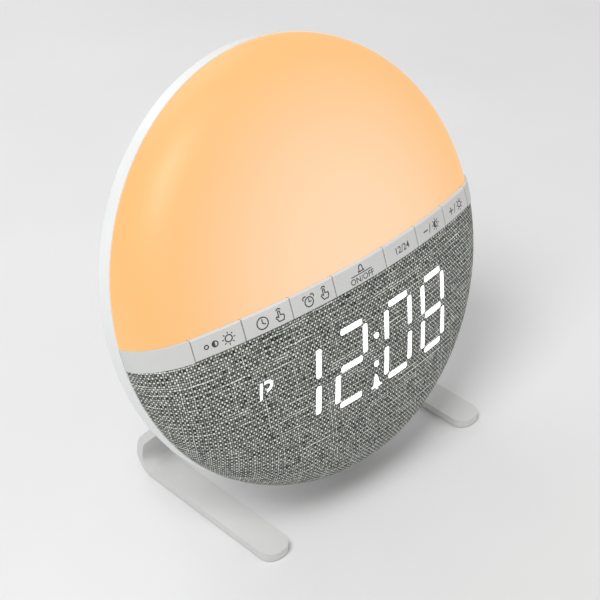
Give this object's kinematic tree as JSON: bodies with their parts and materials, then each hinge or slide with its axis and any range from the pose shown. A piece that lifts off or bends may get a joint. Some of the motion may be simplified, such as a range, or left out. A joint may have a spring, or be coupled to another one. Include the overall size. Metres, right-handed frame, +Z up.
{
  "type": "sunrise alarm clock",
  "caption": "Round bedside lamp and clock that leans back on two bent strap legs: a domed light diffuser over a bowed strip of keys and a fabric front with lit digits.",
  "frame": {"origin": "floor level, under the middle of the object's box", "axes": "+Z up, the lit face towards -Y, +X to the right seen from behind the camera facing +Y"},
  "size_m": [0.18, 0.0933, 0.1758],
  "materials": {
    "housing_plastic": "white moulded plastic, satin",
    "diffuser": "milky light diffuser, satin, lit warm",
    "dark_plastic": "black moulded plastic",
    "woven_fabric": "plain weave of grey and pale yarns",
    "key_plastic": "light grey moulded plastic, fine satin",
    "white_plastic": "white moulded plastic",
    "leg_plastic": "white coated strap, satin",
    "circuit_board": "green solder mask",
    "lamp_board_mask": "white solder mask",
    "led": "LED package",
    "component": "black component body",
    "socket_metal": "bright steel shell",
    "switch_metal": "tinned steel",
    "cell_metal": "bright steel",
    "screw_steel": "zinc plated steel",
    "paper_cone": "pressed paper",
    "ribbon": "flat cable",
    "pad_rubber": "soft rubber"
  },
  "bodies": {
    "clock": {"battery_door": "housing_plastic", "battery_door_screw": "screw_steel", "board_components": "component", "board_screws": "screw_steel", "cell_holder": "dark_plastic", "coin_cell": "cell_metal", "diffuser_dome": "diffuser", "display_board": "circuit_board", "display_leds": "led", "display_light_box": "white_plastic", "fabric_cover": "woven_fabric", "foot_pads": "pad_rubber", "front_panel": "dark_plastic", "housing_screws": "screw_steel", "key_board": "circuit_board", "key_frame": "key_plastic", "lamp_board": "lamp_board_mask", "lamp_leds": "led", "leg_left": "leg_plastic", "leg_right": "leg_plastic", "leg_screws": "screw_steel", "main_board": "circuit_board", "power_socket": "socket_metal", "rear_housing": "housing_plastic", "reflector_tray": "white_plastic", "ribbon_cable": "ribbon", "speaker_basket": "component", "speaker_cone": "paper_cone", "speaker_magnet": "component", "tact_switches": "switch_metal"},
    "button_dimmer": {"key_dimmer": "key_plastic", "plunger_dimmer": "dark_plastic"},
    "button_time": {"key_time": "key_plastic", "plunger_time": "dark_plastic"},
    "button_alarm": {"key_alarm": "key_plastic", "plunger_alarm": "dark_plastic"},
    "button_alarm_switch": {"key_alarm_switch": "key_plastic", "plunger_alarm_switch": "dark_plastic"},
    "button_hour_format": {"key_hour_format": "key_plastic", "plunger_hour_format": "dark_plastic"},
    "button_minus": {"key_minus": "key_plastic", "plunger_minus": "dark_plastic"},
    "button_plus": {"key_plus": "key_plastic", "plunger_plus": "dark_plastic"}
  },
  "joints": [
    {"name": "press_dimmer", "type": "slide", "parent": "clock", "child": "button_dimmer", "axis": [0, 0.9447, -0.328], "range_m": [0, 0.0007], "stiffness_N_per_m": 500},
    {"name": "press_time", "type": "slide", "parent": "clock", "child": "button_time", "axis": [0, 0.9447, -0.328], "range_m": [0, 0.0007], "stiffness_N_per_m": 500},
    {"name": "press_alarm", "type": "slide", "parent": "clock", "child": "button_alarm", "axis": [0, 0.9447, -0.328], "range_m": [0, 0.0007], "stiffness_N_per_m": 500},
    {"name": "press_alarm_switch", "type": "slide", "parent": "clock", "child": "button_alarm_switch", "axis": [0, 0.9447, -0.328], "range_m": [0, 0.0007], "stiffness_N_per_m": 500},
    {"name": "press_hour_format", "type": "slide", "parent": "clock", "child": "button_hour_format", "axis": [0, 0.9447, -0.328], "range_m": [0, 0.0007], "stiffness_N_per_m": 500},
    {"name": "press_minus", "type": "slide", "parent": "clock", "child": "button_minus", "axis": [0, 0.9447, -0.328], "range_m": [0, 0.0007], "stiffness_N_per_m": 500},
    {"name": "press_plus", "type": "slide", "parent": "clock", "child": "button_plus", "axis": [0, 0.9447, -0.328], "range_m": [0, 0.0007], "stiffness_N_per_m": 500}
  ]
}
